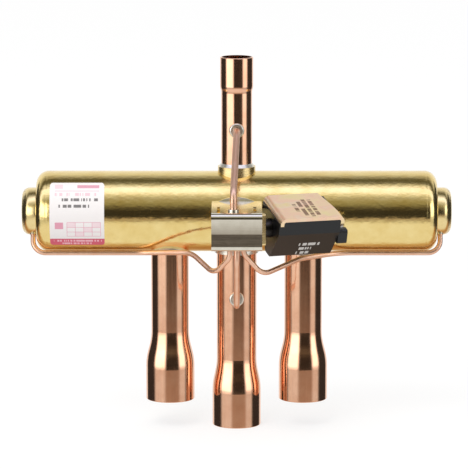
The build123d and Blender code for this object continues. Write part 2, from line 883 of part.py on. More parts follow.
# Section of the moulding about the coil's axis: straight sides, then a narrow foot
moulding_half = yoke_width / 2 - moulding_inset
side_foot = yoke_inner - moulding_band


def moulding_section(top):
    with BuildLine() as outline:
        Polyline(
            (-moulding_half, top),
            (-moulding_half, side_foot),
            (-moulding_foot_width / 2, -moulding_bottom),
            (moulding_foot_width / 2, -moulding_bottom),
            (moulding_half, side_foot),
            (moulding_half, top),
            close=True,
        )
    return outline


with BuildPart() as coil_moulding:
    with BuildSketch(section_at(coil_frame, coil_left)) as section:
        add(moulding_section(yoke_inner).line)
        make_face()
        fillet(section.vertices().group_by(Axis.Y)[0], moulding_corner)
    extrude(amount=coil_right - coil_left)
    # It covers the leg at the valve's end, up to the bend
    with BuildSketch(section_at(coil_frame, coil_left)) as section:
        add(moulding_section(yoke_rise - yoke_bend).line)
        make_face()
        fillet(section.vertices().group_by(Axis.Y)[0], moulding_corner)
    extrude(amount=-(yoke_thickness + moulding_cover))
    # Lead outlet beside the screw leg
    with BuildSketch(section_at(coil_frame, coil_right)):
        with Locations((-outlet_offset, outlet_level)):
            RectangleRounded(outlet_width, outlet_height, outlet_corner)
    extrude(amount=yoke_thickness + outlet_length)
    with BuildSketch(section_at(coil_frame, yoke_left - moulding_cover)):
        Circle(bobbin_bore)
    extrude(amount=coil_right - yoke_left + moulding_cover, mode=Mode.SUBTRACT)
    with BuildSketch(section_at(coil_frame, coil_left + bobbin_flange)):
        Circle(flange_radius)
    extrude(amount=coil_right - coil_left - 2 * bobbin_flange, mode=Mode.SUBTRACT)
    add(coil_yoke.part, mode=Mode.SUBTRACT)
coil_moulding.part.label = "coil_moulding"
export_step(coil_moulding.part, "parts/coil_moulding.step")

with BuildPart() as coil_bobbin:
    with BuildSketch(pilot_side):
        with BuildLine():
            Polyline(
                (coil_left + bobbin_flange, bobbin_bore),
                (coil_right - bobbin_flange, bobbin_bore),
                (coil_right - bobbin_flange, flange_radius),
                (winding_right, flange_radius),
                (winding_right, bobbin_radius),
                (winding_left, bobbin_radius),
                (winding_left, flange_radius),
                (coil_left + bobbin_flange, flange_radius),
                close=True,
            )
        make_face()
    revolve(axis=pilot_axis)
coil_bobbin.part.label = "coil_bobbin"
export_step(coil_bobbin.part, "parts/coil_bobbin.step")

with BuildPart() as coil_winding:
    with BuildSketch(section_at(pilot_frame, winding_left)):
        Circle(winding_radius)
        Circle(bobbin_radius, mode=Mode.SUBTRACT)
    extrude(amount=winding_right - winding_left)
coil_winding.part.label = "coil_winding"
export_step(coil_winding.part, "parts/coil_winding.step")

with BuildPart() as coil_lock_washer:
    with BuildSketch(section_at(pilot_frame, yoke_right)):
        Circle(washer_od / 2)
        Circle(coil_screw_diameter / 2 + coil_gap, mode=Mode.SUBTRACT)
    extrude(amount=washer_thickness)
coil_lock_washer.part.label = "coil_lock_washer"
export_step(coil_lock_washer.part, "parts/coil_lock_washer.step")

head_face = yoke_right + washer_thickness

with BuildPart() as coil_screw:
    with BuildSketch(section_at(pilot_frame, head_face)):
        Circle(coil_screw_head / 2)
    extrude(amount=coil_screw_head_height)
    head_rims = coil_screw.edges().filter_by(GeomType.CIRCLE).group_by(Axis.X)
    chamfer(head_rims[-1], coil_screw_head_chamfer)
    with BuildSketch(section_at(pilot_frame, head_face + coil_screw_head_height)):
        Rectangle(screw_slot_length, screw_slot_width)
        Rectangle(screw_slot_width, screw_slot_length)
    extrude(amount=-screw_slot_depth, mode=Mode.SUBTRACT)
    with BuildSketch(section_at(pilot_frame, head_face)):
        Circle(coil_screw_diameter / 2)
    extrude(amount=-(head_face - core_end + coil_screw_grip))
coil_screw.part.label = "coil_screw"
export_step(coil_screw.part, "parts/coil_screw.step")

# ---------------------------------------------------------------- bracket
flange_under = axis_height - pilot_drop + pilot_height / 2
flange_top = flange_under + bracket_thickness
fold_height = axis_height - bracket_fold_drop
bottom_height = axis_height - bracket_bottom_drop
lean_back = (flange_top - fold_height) * tan(radians(bracket_lean))
apron_y = -bracket_front + lean_back

with BuildPart() as pilot_bracket:
    with BuildSketch(Plane.YZ):
        with BuildLine():
            FilletPolyline(
                (0, flange_top),
                (-bracket_front, flange_top),
                (apron_y, fold_height),
                (apron_y, bottom_height),
                (apron_y + bracket_hem, bottom_height),
                radius=(
                    bracket_bend + bracket_thickness,
                    bracket_bend,
                    bracket_bend + bracket_thickness,
                ),
            )
            offset(amount=bracket_thickness, side=Side.LEFT)
        make_face()
    extrude(amount=bracket_width / 2, both=True)
    # Tongue curled up against the body, with a rounded end
    with BuildSketch(body_section(0)):
        Circle(body_radius + bracket_thickness)
        with Locations((0, flange_under - axis_height)):
            Rectangle(
                body_od * 2, body_od, align=(Align.CENTER, Align.MAX), mode=Mode.SUBTRACT
            )
    extrude(amount=tongue_width / 2, both=True)
    with BuildSketch(Plane(origin=(0, 0, flange_top), x_dir=(1, 0, 0), z_dir=(0, -1, 0))):
        with BuildLine():
            Line((-bracket_width, body_od), (-bracket_width, 0))
            Line((-bracket_width, 0), (-tongue_width / 2, 0))
            ThreePointArc((-tongue_width / 2, 0), (0, tongue_curl), (tongue_width / 2, 0))
            Line((tongue_width / 2, 0), (bracket_width, 0))
            Line((bracket_width, 0), (bracket_width, body_od))
            Line((bracket_width, body_od), (-bracket_width, body_od))
        make_face()
    extrude(amount=bracket_front * 2, both=True, mode=Mode.SUBTRACT)
    with BuildSketch(body_section(0)):
        Circle(body_radius)
        Rectangle(body_od, body_od * 2, align=(Align.MIN, Align.CENTER))
    extrude(amount=bracket_width, both=True, mode=Mode.SUBTRACT)
    # Relief slots beside the tongue
    slot_start = -bracket_front + bracket_bend + bracket_thickness + tongue_slot_margin
    with BuildSketch(Plane.XY.offset(flange_under)):
        with Locations((-tongue_width / 2, 0), (tongue_width / 2, 0)):
            with Locations((0, slot_start)):
                Rectangle(
                    tongue_slot, tongue_slot_length, align=(Align.CENTER, Align.MIN)
                )
    extrude(amount=bracket_thickness, mode=Mode.SUBTRACT)
    with BuildSketch(pilot_frame):
        with Locations((discharge_tap_station, 0)):
            Circle(discharge_capillary_od / 2)
    extrude(amount=pilot_height, mode=Mode.SUBTRACT)
pilot_bracket.part.label = "pilot_bracket"
export_step(pilot_bracket.part, "parts/pilot_bracket.step")

# ---------------------------------------------------------------- capillaries
def pilot_point(station, level):
    point = pilot_frame.from_local_coords((station, 0, level))
    return (point.X, point.Y, point.Z)


# A round tube along straight runs joined by tangent bends
def capillary(points, bends, diameter):
    with BuildPart() as tube:
        with BuildLine() as route:
            FilletPolyline(*points, radius=bends)
        with BuildSketch(Plane(origin=route.line @ 0, z_dir=route.line % 0)):
            Circle(diameter / 2)
        sweep(path=route.line)
    return tube


discharge_face = discharge_od / 2
discharge_inner = discharge_face - discharge_wall
suction_inner = port_radius - port_wall
suction_drop_level = -pilot_height / 2 - suction_drop

capillary_discharge = capillary(
    [
        (0, -discharge_inner + capillary_insertion, tap_height),
        (0, -discharge_face - discharge_run, tap_height),
        pilot_point(discharge_tap_station, pilot_height / 2 + discharge_drop),
        pilot_point(discharge_tap_station, pilot_bore_radius),
    ],
    [discharge_bend, discharge_turn],
    discharge_capillary_od,
)
capillary_discharge.part.label = "capillary_discharge"
export_step(capillary_discharge.part, "parts/capillary_discharge.step")

capillary_suction = capillary(
    [
        pilot_point(0, socket_level),
        pilot_point(0, suction_drop_level),
        (0, -port_radius - suction_run, tap_low),
        (0, -suction_inner + capillary_insertion, tap_low),
    ],
    [suction_bend, suction_turn],
    suction_capillary_od,
)
capillary_suction.part.label = "capillary_suction"
export_step(capillary_suction.part, "parts/capillary_suction.step")


# Corner beside an end cap and the end of the run into it
def cap_run(side):
    inside = cap_bore + capillary_gap
    corner = (side * cap_tap_x, route_y, axis_height + route_z)
    return [corner, (side * cap_tap_x, inside * tap_y, axis_height + inside * tap_z)]


body_bottom = axis_height - body_radius

capillary_left = capillary(
    [
        pilot_point(-pilot_pitch, socket_level),
        pilot_point(-pilot_pitch, -pilot_height / 2 - left_drop),
        (-left_loop, -pilot_reach + left_loop_back, body_bottom - left_loop_drop),
        (-left_climb, -pilot_reach + left_climb_back, body_bottom + left_climb_rise),
        (-left_join, route_y, axis_height + route_z),
        *cap_run(-1),
    ],
    [*left_bends, side_route_bend],
    side_capillary_od,
)
capillary_left.part.label = "capillary_left"
export_step(capillary_left.part, "parts/capillary_left.step")

capillary_right = capillary(
    [
        pilot_point(pilot_pitch, socket_level),
        pilot_point(pilot_pitch, -pilot_height / 2 - right_drop),
        (right_loop, -pilot_reach + right_loop_back, body_bottom - right_loop_drop),
        (right_climb, -pilot_reach + right_climb_back, body_bottom + right_climb_rise),
        (right_join, route_y, axis_height + route_z),
        *cap_run(1),
    ],
    [*right_bends, side_route_bend],
    side_capillary_od,
)
capillary_right.part.label = "capillary_right"
export_step(capillary_right.part, "parts/capillary_right.step")

with BuildPart() as capillary_beads:
    with BuildSketch(pilot_frame.offset(flange_top - pilot_frame.origin.Z)):
        with Locations((discharge_tap_station, 0)):
            Circle(discharge_capillary_od / 2 + bead_width)
            Circle(discharge_capillary_od / 2, mode=Mode.SUBTRACT)
    extrude(amount=bead_height)
    for side in (-1, 1):
        bead_plane = Plane(
            origin=(side * cap_tap_x, cap_radius * tap_y, axis_height + cap_radius * tap_z),
            x_dir=(1, 0, 0),
            z_dir=(0, tap_y, tap_z),
        )
        with BuildSketch(bead_plane.offset(cap_bead_height)):
            Circle(side_capillary_od / 2 + capillary_gap)
            Circle(side_capillary_od / 2, mode=Mode.SUBTRACT)
        extrude(amount=-cap_bead_height - cap_bead_depth)
    with BuildSketch(body_section(0)):
        Circle(cap_radius)
    extrude(amount=body_length, both=True, mode=Mode.SUBTRACT)
capillary_beads.part.label = "capillary_beads"
export_step(capillary_beads.part, "parts/capillary_beads.step")

# ---------------------------------------------------------------- label
with BuildPart() as label:
    with BuildSketch(body_section(0)):
        Circle(body_radius + label_thickness)
        Circle(body_radius, mode=Mode.SUBTRACT)
    extrude(amount=half_length, both=True)
    with BuildSketch(body_plane):
        with Locations((label_centre, label_lift)):
            RectangleRounded(label_length, label_height, label_corner)
    extrude(amount=body_od, mode=Mode.INTERSECT)
label.part.label = "label"
export_step(label.part, "parts/label.step")
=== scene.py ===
import json
import math

import bpy
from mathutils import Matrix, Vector


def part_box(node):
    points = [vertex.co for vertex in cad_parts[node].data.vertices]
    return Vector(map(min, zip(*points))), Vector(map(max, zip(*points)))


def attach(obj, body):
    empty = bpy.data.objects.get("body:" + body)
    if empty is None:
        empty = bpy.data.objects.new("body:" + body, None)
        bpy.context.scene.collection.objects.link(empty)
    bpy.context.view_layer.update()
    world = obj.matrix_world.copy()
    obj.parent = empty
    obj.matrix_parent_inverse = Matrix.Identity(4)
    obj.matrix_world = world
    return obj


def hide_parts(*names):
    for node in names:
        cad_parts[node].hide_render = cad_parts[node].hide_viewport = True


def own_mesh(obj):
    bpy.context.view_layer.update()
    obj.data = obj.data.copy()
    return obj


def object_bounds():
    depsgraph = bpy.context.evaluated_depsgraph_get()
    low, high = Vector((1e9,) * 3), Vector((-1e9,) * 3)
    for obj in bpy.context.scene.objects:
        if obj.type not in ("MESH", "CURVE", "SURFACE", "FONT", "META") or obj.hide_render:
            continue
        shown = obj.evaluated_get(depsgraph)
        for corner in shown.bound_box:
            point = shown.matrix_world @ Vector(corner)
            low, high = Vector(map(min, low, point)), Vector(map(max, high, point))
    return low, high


# Four way reversing valve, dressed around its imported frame. Metres, +Z up, X along the body.

mm = 0.001
grainHeight = 0.05 * mm  # how far a grain or a tool line stands up at full strength
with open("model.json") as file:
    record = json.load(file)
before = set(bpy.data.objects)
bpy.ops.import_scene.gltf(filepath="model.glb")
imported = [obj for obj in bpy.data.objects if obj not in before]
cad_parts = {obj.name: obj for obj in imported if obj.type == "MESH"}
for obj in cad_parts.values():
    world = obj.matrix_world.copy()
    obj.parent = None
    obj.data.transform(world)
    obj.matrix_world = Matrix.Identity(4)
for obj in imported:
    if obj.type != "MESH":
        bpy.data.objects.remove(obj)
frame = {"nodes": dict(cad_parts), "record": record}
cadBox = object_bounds()
nodes = frame["nodes"]
bodyLow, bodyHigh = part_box("body_tube")
bodyCentre = (bodyLow + bodyHigh) / 2
bodyRadius = (bodyHigh.z - bodyLow.z) / 2
print("frame loaded:", len(nodes), "nodes")


def linearColour(hexCode):
    channels = [int(hexCode[i:i + 2], 16) / 255 for i in (1, 3, 5)]
    linear = [c / 12.92 if c <= 0.04045 else ((c + 0.055) / 1.055) ** 2.4 for c in channels]
    return (*linear, 1.0)


def addNode(tree, kind, settings=None, inputs=None):
    # settings are the node's own choices, inputs are values or links for its sockets
    node = tree.nodes.new(kind)
    for name, value in (settings or {}).items():
        setattr(node, name, value)
    for name, value in (inputs or {}).items():
        if isinstance(value, bpy.types.NodeSocket):
            tree.links.new(value, node.inputs[name])
        else:
            node.inputs[name].default_value = value
    return node


def setStops(ramp, stops):
    # a stop is a place with a grey level, a hex colour or a linear colour
    elements = ramp.color_ramp.elements
    while len(elements) > 1:
        elements.remove(elements[-1])
    for i, (place, value) in enumerate(stops):
        stop = elements[0] if i == 0 else elements.new(place)
        stop.position = place
        if isinstance(value, str):
            stop.color = linearColour(value)
        else:
            stop.color = (*value, 1) if isinstance(value, tuple) else (value, value, value, 1)
    return ramp.outputs["Color"]


def newMaterial(name):
    material = bpy.data.materials.new(name)
    material.use_nodes = True
    material.node_tree.nodes.clear()
    return material, material.node_tree


def dress(material, *names):
    for name in names:
        for held in nodes[name].material_slots:
            held.material = material


# metals, in mm
# pitch is the spacing of the drawing or turning lines, or of the lumps in braze, and stretch draws it
# out along an axis. Real lines are about 0.05 mm apart and too fine to show, so they are drawn 7 to
# 14 times as coarse. mottle is the size of the soft patches. waveSize and waveDepth are how long and
# how deep a wall wanders. crown is a wall that curves gently: its axis, where it starts and ends from
# the body's middle, and how far it rises there.
brassTube = {
    "colour": "#F4DC98", "shade": "#E8C97C", "roughness": 0.12, "roughnessSpread": 0.06,
    "pitch": 0.5, "stretch": (0.012, 1, 1), "lineDepth": 0.05, "mottle": 7.0,
    "waveSize": 1.7, "waveStretch": (0.7, 1, 1), "waveDepth": 0.07,
    "crown": ("X", 72.0, 82.0, -0.9),
}
brassCap = {
    "colour": "#F4DEA2", "shade": "#E8CB8A", "roughness": 0.18, "roughnessSpread": 0.06,
    "pitch": 0.5, "stretch": (1, 0.3, 0.3), "lineDepth": 0.04, "mottle": 4.0,
    "waveSize": 2.4, "waveStretch": (1, 1, 1), "waveDepth": 0.04,
    "crown": ("X", 85.5, 92.0, -1.5),
}
brassTurned = {
    "colour": "#F2DCA6", "shade": "#DEC283", "roughness": 0.22, "roughnessSpread": 0.08,
    "pitch": 0.35, "stretch": (0.05, 0.05, 1), "lineDepth": 0.12, "mottle": 5.0,
    "waveSize": 2.0, "waveStretch": (1, 1, 1), "waveDepth": 0.003,
}
copperTube = {
    "colour": "#F5C2A1", "shade": "#EAB08D", "roughness": 0.1, "roughnessSpread": 0.05,
    "pitch": 0.5, "stretch": (1, 1, 0.012), "lineDepth": 0.04, "mottle": 6.0,
    "waveSize": 5.0, "waveStretch": (1, 1, 0.5), "waveDepth": 0.008,
}
copperWire = {
    "colour": "#F7CDB2", "shade": "#EDB898", "roughness": 0.35, "roughnessSpread": 0.08,
    "pitch": 0.7, "stretch": (0.3, 1, 1), "lineDepth": 0.03, "mottle": 5.0,
    "waveSize": 4.0, "waveStretch": (1, 1, 1), "waveDepth": 0.003,
}
silverBraze = {
    "colour": "#EFEBE0", "shade": "#C9C2B1", "roughness": 0.26, "roughnessSpread": 0.12,
    "pitch": 1.1, "stretch": (1, 1, 1), "lineDepth": 0.5, "mottle": 1.6,
    "waveSize": 2.0, "waveStretch": (1, 1, 1), "waveDepth": 0.02,
}
rolledSteel = {
    "colour": "#E2DCCD", "shade": "#D0CABA", "roughness": 0.2, "roughnessSpread": 0.06,
    "pitch": 0.35, "stretch": (0.02, 1, 1), "lineDepth": 0.1, "mottle": 5.0,
    "waveSize": 4.0, "waveStretch": (1, 1, 1), "waveDepth": 0.004,
}
turnedSteel = {
    "colour": "#DAD7D0", "shade": "#C3BEB4", "roughness": 0.22, "roughnessSpread": 0.08,
    "pitch": 0.4, "stretch": (0.05, 1, 1), "lineDepth": 0.1, "mottle": 5.0,
    "waveSize": 3.0, "waveStretch": (1, 1, 1), "waveDepth": 0.003,
}
bentSheet = dict(rolledSteel, colour="#E4DFD2", shade="#D5CFC0", roughness=0.12,
                 stretch=(0.012, 1, 1), crown=("Z", -1.4, 4.7, 0.18))
# painted shade: the guide tube is coloured dark grey in place of the shade that falls on it inside the
# coil
shadeDarkenedSteel = {
    "colour": "#4A4643", "shade": "#393532", "roughness": 0.3, "roughnessSpread": 0.08,
    "pitch": 0.4, "stretch": (0.05, 1, 1), "lineDepth": 0.1, "mottle": 4.0,
    "waveSize": 3.0, "waveStretch": (1, 1, 1), "waveDepth": 0.003,
}


# what all the metals share: how busy each noise is, and which part of it is used
metalNoise = {
    "lineDetail": 3.0, "lineRoughness": 0.6, "lineLow": 0.3, "lineHigh": 0.7,
    "patchDetail": 4.0, "patchRoughness": 0.55, "patchLow": 0.35, "patchHigh": 0.8,
    "waveDetail": 2.0, "waveRoughness": 0.5, "crownPower": 2.0,
}


def metalFinish(name, look):
    look = {**metalNoise, **look}
    material, tree = newMaterial(name)
    place = addNode(tree, "ShaderNodeTexCoord").outputs["Object"]
    drawn = addNode(tree, "ShaderNodeVectorMath", {"operation": "MULTIPLY"},
                    {0: place, 1: look["stretch"]})
    lines = addNode(tree, "ShaderNodeTexNoise", {},
                    {"Vector": drawn.outputs[0], "Scale": 1 / (look["pitch"] * mm),
                     "Detail": look["lineDetail"], "Roughness": look["lineRoughness"]})
    patches = addNode(tree, "ShaderNodeTexNoise", {},
                      {"Vector": place, "Scale": 1 / (look["mottle"] * mm),
                       "Detail": look["patchDetail"], "Roughness": look["patchRoughness"]})
    wavy = addNode(tree, "ShaderNodeVectorMath", {"operation": "MULTIPLY"},
                   {0: place, 1: look["waveStretch"]})
    waves = addNode(tree, "ShaderNodeTexNoise", {},
                    {"Vector": wavy.outputs[0], "Scale": 1 / (look["waveSize"] * mm),
                     "Detail": look["waveDetail"], "Roughness": look["waveRoughness"]})
    tinted = addNode(tree, "ShaderNodeMapRange", {},
                     {"Value": patches.outputs["Fac"], "From Min": look["patchLow"],
                      "From Max": look["patchHigh"]})
    tint = addNode(tree, "ShaderNodeMix", {"data_type": "RGBA"},
                   {0: tinted.outputs[0], 6: linearColour(look["colour"]),
                    7: linearColour(look["shade"])})
    rough = addNode(tree, "ShaderNodeMapRange", {},
                    {"Value": lines.outputs["Fac"], "From Min": look["lineLow"],
                     "From Max": look["lineHigh"], "To Min": look["roughness"],
                     "To Max": look["roughness"] + look["roughnessSpread"]})
    wander = addNode(tree, "ShaderNodeBump", {},
                     {"Height": waves.outputs["Fac"], "Strength": 1.0,
                      "Distance": look["waveDepth"] * mm})
    bump = addNode(tree, "ShaderNodeBump", {},
                   {"Height": lines.outputs["Fac"], "Strength": look["lineDepth"],
                    "Distance": grainHeight, "Normal": wander.outputs[0]})
    if "crown" in look:
        axis, start, end, rise = look["crown"]
        offset = addNode(tree, "ShaderNodeVectorMath", {"operation": "SUBTRACT"},
                         {0: place, 1: bodyCentre})
        reach = addNode(tree, "ShaderNodeSeparateXYZ", {}, {0: offset.outputs[0]}).outputs[axis]
        if axis == "X":  # both ends alike
            reach = addNode(tree, "ShaderNodeMath", {"operation": "ABSOLUTE"}, {0: reach}).outputs[0]
        past = addNode(tree, "ShaderNodeMapRange", {},
                       {"Value": reach, "From Min": start * mm, "From Max": end * mm})
        curve = addNode(tree, "ShaderNodeMath", {"operation": "POWER"},
                        {0: past.outputs[0], 1: look["crownPower"]})
        curved = addNode(tree, "ShaderNodeBump", {"invert": rise < 0},
                         {"Height": curve.outputs[0], "Strength": 1.0, "Distance": abs(rise) * mm})
        tree.links.new(curved.outputs[0], wander.inputs["Normal"])
    shader = addNode(tree, "ShaderNodeBsdfPrincipled", {},
                     {"Metallic": 1.0, "Base Color": tint.outputs[2], "Roughness": rough.outputs[0],
                      "Normal": bump.outputs[0]})
    addNode(tree, "ShaderNodeOutputMaterial", {}, {"Surface": shader.outputs[0]})
    return material


# drawn brass tube: bright, with faint lines along it and a wandering wall that breaks up reflections
dress(metalFinish("BrightDrawnBrass", brassTube), "body_tube")
# brass drawn into a cup: as bright, with the lines gone
dress(metalFinish("DeepDrawnBrass", brassCap), "end_cap_left", "end_cap_right")
# turned brass: fine rings from the tool
dress(metalFinish("TurnedBrass", brassTurned), "discharge_spud", "pilot_body", "pilot_end_plug",
      "valve_seat", "pilot_seat", "piston_disc_left", "piston_disc_right", "piston_plate_left",
      "piston_plate_right")
# drawn copper tube: a pale pink mirror with long soft streaks
dress(metalFinish("BrightDrawnCopper", copperTube), "discharge_tube", "suction_tube", "left_tube",
      "right_tube")
# annealed copper capillary: softer gloss than the drawn tube
dress(metalFinish("AnnealedCopperCapillary", copperWire), "capillary_discharge", "capillary_suction",
      "capillary_left", "capillary_right", "shading_ring", "coil_winding")
# silver braze as it froze: pale grey, lumpy, half dull
dress(metalFinish("SilverBraze", silverBraze), "tube_braze_rings", "port_braze_rings", "discharge_braze",
      "capillary_beads")
# stainless sheet after bending: glossy, with long rolling lines and a slightly crowned face
dress(metalFinish("BentStainlessSheet", bentSheet), "pilot_bracket")
# rolled stainless sheet: level surface with short rolling lines
dress(metalFinish("RolledStainlessSteel", rolledSteel), "carrier_plate", "pilot_slide_frame",
      "seal_spring_left", "seal_spring_right")
# turned steel: tool rings and an even grey shine
dress(metalFinish("TurnedFreeCuttingSteel", turnedSteel), "plunger", "fixed_core", "pilot_spring",
      "coil_screw", "coil_lock_washer", "piston_screws")
# steel with painted shade: the same tool rings, in a dark grey that stands in for the shade and dark
# reflections inside the coil
dress(metalFinish("SteelWithPaintedShade", shadeDarkenedSteel), "guide_tube")
print("metals done")


# the coil's own directions: along the plunger, and square to the yoke's web
coilTilt = math.radians(16.0)
joints = {joint["name"]: joint for joint in frame["record"]["behaviour"]["joints"]}
plungerJoint = joints["pilot_plunger_travel"]
coilAlong = Vector(plungerJoint["axis"]).normalized()
coilFront = Vector((coilAlong.y, -coilAlong.x, 0))
coilUp = math.sin(coilTilt) * coilFront + math.cos(coilTilt) * Vector((0, 0, 1))
coilBack = coilUp.cross(coilAlong)


# the pilot spring closes up as the plunger comes home, so its turns get their own piece
spring = bpy.data.objects.new("pilotSpringTurns", nodes["pilot_spring"].data.copy())
bpy.context.scene.collection.objects.link(spring)
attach(spring, "valve_body")
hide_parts("pilot_spring")
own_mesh(spring)
print("spring done")


def measured(tree, place, centre, direction):
    # how far a point lies from the centre along a direction, in mm
    offset = addNode(tree, "ShaderNodeVectorMath", {"operation": "SUBTRACT"}, {0: place, 1: centre})
    reach = addNode(tree, "ShaderNodeVectorMath", {"operation": "DOT_PRODUCT"},
                    {0: offset.outputs[0], 1: direction / mm})
    return reach.outputs["Value"]


def block(tree, across, up, area):
    # area is (left, right, bottom, top) in mm, and the result is 1 inside it
    left, right, bottom, top = area
    inWidth = addNode(tree, "ShaderNodeMath", {"operation": "COMPARE"},
                      {0: across, 1: (left + right) / 2, 2: (right - left) / 2})
    inHeight = addNode(tree, "ShaderNodeMath", {"operation": "COMPARE"},
                       {0: up, 1: (bottom + top) / 2, 2: (top - bottom) / 2})
    both = addNode(tree, "ShaderNodeMath", {"operation": "MULTIPLY"},
                   {0: inWidth.outputs[0], 1: inHeight.outputs[0]})
    return both.outputs[0]


seedStep = 7.3  # how far apart in the noise two rows of dashes lie


def dashes(tree, across, up, row):
    # a row of plain dashes of uneven length: area as in block, dash is their usual length in mm,
    # and a higher fill leaves less bare
    place = addNode(tree, "ShaderNodeCombineXYZ", {}, {"X": across, "Y": row["seed"] * seedStep})
    noise = addNode(tree, "ShaderNodeTexNoise", {"noise_dimensions": "2D"},
                    {"Vector": place.outputs[0], "Scale": 1 / row["dash"], "Detail": 0.0})
    filled = addNode(tree, "ShaderNodeMath", {"operation": "LESS_THAN"},
                     {0: noise.outputs["Fac"], 1: row["fill"]})
    kept = addNode(tree, "ShaderNodeMath", {"operation": "MULTIPLY"},
                   {0: filled.outputs[0], 1: block(tree, across, up, row["area"])})
    return kept.outputs[0]


def printed(tree, base, mask, ink, strength):
    # lays an ink over a colour where the mask is 1
    amount = addNode(tree, "ShaderNodeMath", {"operation": "MULTIPLY"}, {0: mask, 1: strength})
    mixed = addNode(tree, "ShaderNodeMix", {"data_type": "RGBA"},
                    {0: amount.outputs[0], 6: base, 7: linearColour(ink)})
    return mixed.outputs[2]


# yoke: zinc plated steel with a clear chromate, which drifts between cream, pink and straw. Its plate
# has a grain of a few hundredths of a millimetre, drawn at 0.5 mm so that it shows.
# lengths are where each row of dashes starts and ends, in mm from the middle
yoke = {
    "stops": [(0.3, "#F7E2AC"), (0.42, "#FADCB6"), (0.5, "#FAD3B6"), (0.58, "#F7DCC0"),
              (0.7, "#F4DEA2")],
    "patch": 9.0, "patchDetail": 3.0, "patchRoughness": 0.5, "metallic": 0.85, "roughness": 0.34,
    "grain": 0.5, "grainDetail": 3.0, "grainDepth": 0.12,
    "ink": "#6E3F22", "inkStrength": 0.8, "pitch": 2.6, "height": 1.7, "dash": 1.0, "fill": 0.6,
    "lengths": [(-3.4, 4.0), (-7.4, 7.2), (-8.6, 8.6), (-7.6, 8.6)],
}


def yokeFinish(look):
    material, tree = newMaterial("ClearChromatedZinc")
    place = addNode(tree, "ShaderNodeTexCoord").outputs["Object"]
    low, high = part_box("coil_yoke")
    centre = (low + high) / 2
    along = measured(tree, place, centre, coilAlong)
    back = measured(tree, place, centre, coilBack)
    patches = addNode(tree, "ShaderNodeTexNoise", {},
                      {"Vector": place, "Scale": 1 / (look["patch"] * mm),
                       "Detail": look["patchDetail"], "Roughness": look["patchRoughness"]})
    film = addNode(tree, "ShaderNodeValToRGB", {}, {"Fac": patches.outputs["Fac"]})
    colour = setStops(film, look["stops"])
    grain = addNode(tree, "ShaderNodeTexNoise", {},
                    {"Vector": place, "Scale": 1 / (look["grain"] * mm), "Detail": look["grainDetail"]})
    for i, (start, end) in enumerate(look["lengths"]):
        middle = (i - (len(look["lengths"]) - 1) / 2) * look["pitch"]
        row = {"area": (start, end, middle - look["height"] / 2, middle + look["height"] / 2),
               "dash": look["dash"], "seed": i + 1, "fill": look["fill"]}
        mask = dashes(tree, back, along, row)
        colour = printed(tree, colour, mask, look["ink"], look["inkStrength"])
    bump = addNode(tree, "ShaderNodeBump", {},
                   {"Height": grain.outputs["Fac"], "Strength": look["grainDepth"],
                    "Distance": grainHeight})
    shader = addNode(tree, "ShaderNodeBsdfPrincipled", {},
                     {"Metallic": look["metallic"], "Base Color": colour,
                      "Roughness": look["roughness"], "Normal": bump.outputs[0]})
    addNode(tree, "ShaderNodeOutputMaterial", {}, {"Surface": shader.outputs[0]})
    return material


dress(yokeFinish(yoke), "coil_yoke")
print("yoke done")


# plastics, in mm: grain is the pebble that the mould leaves, drawn about 5 times as coarse as it is
# so that it shows, and cloud is the size of the slow changes of tone
plasticSkin = {"ior": 1.5, "grainDetail": 2.0, "cloudDetail": 3.0}


def mouldedPlastic(name, look):
    look = {**plasticSkin, **look}
    material, tree = newMaterial(name)
    place = addNode(tree, "ShaderNodeTexCoord").outputs["Object"]
    texture = addNode(tree, "ShaderNodeTexNoise", {},
                      {"Vector": place, "Scale": 1 / (look["grain"] * mm),
                       "Detail": look["grainDetail"]})
    bump = addNode(tree, "ShaderNodeBump", {},
                   {"Height": texture.outputs["Fac"], "Strength": look["depth"],
                    "Distance": grainHeight})
    cloud = addNode(tree, "ShaderNodeTexNoise", {},
                    {"Vector": place, "Scale": 1 / (look["cloud"] * mm), "Detail": look["cloudDetail"]})
    tint = addNode(tree, "ShaderNodeMix", {"data_type": "RGBA"},
                   {0: cloud.outputs["Fac"], 6: linearColour(look["colour"]),
                    7: linearColour(look["shade"])})
    colour = tint.outputs[2]
    for row in look.get("rows", []):  # printed on the coil's moulding only
        low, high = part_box("coil_moulding")
        centre = (low + high) / 2
        along = measured(tree, place, centre, coilAlong)
        up = measured(tree, place, centre, coilUp)
        colour = printed(tree, colour, dashes(tree, along, up, row), look["ink"], look["inkStrength"])
    shader = addNode(tree, "ShaderNodeBsdfPrincipled", {},
                     {"Base Color": colour, "Roughness": look["roughness"], "IOR": look["ior"],
                      "Normal": bump.outputs[0]})
    addNode(tree, "ShaderNodeOutputMaterial", {}, {"Surface": shader.outputs[0]})
    return material


blackMoulding = {
    "colour": "#101214", "shade": "#0B0C0E", "roughness": 0.4, "grain": 0.6, "depth": 0.35,
    "cloud": 6.0,
    "ink": "#D8D6D2", "inkStrength": 0.85,
    "rows": [
        {"area": (-5.0, 5.4, -5.4, -3.7), "dash": 1.2, "seed": 4, "fill": 0.55},
        {"area": (-3.8, 2.6, -8.1, -6.5), "dash": 1.1, "seed": 6, "fill": 0.62},
        {"area": (-4.6, 2.0, -10.8, -9.2), "dash": 1.1, "seed": 10, "fill": 0.62},
    ],
}
# thermosetting polyester, moulded: satin black, fine pebble in its gloss
dress(mouldedPlastic("BlackPolyesterMoulding", blackMoulding), "coil_moulding")

naturalNylon = {
    "colour": "#EAE3CF", "shade": "#DDD4BA", "roughness": 0.4, "grain": 0.6, "depth": 0.1,
    "cloud": 4.0,
}
# natural nylon, moulded: warm ivory with a soft skin
dress(mouldedPlastic("NaturalNylon", naturalNylon), "slide_block", "pilot_slide", "coil_bobbin")

whitePtfe = {
    "colour": "#F2F1EC", "shade": "#E9E7E0", "roughness": 0.45, "grain": 0.6, "depth": 0.1,
    "cloud": 4.0,
}
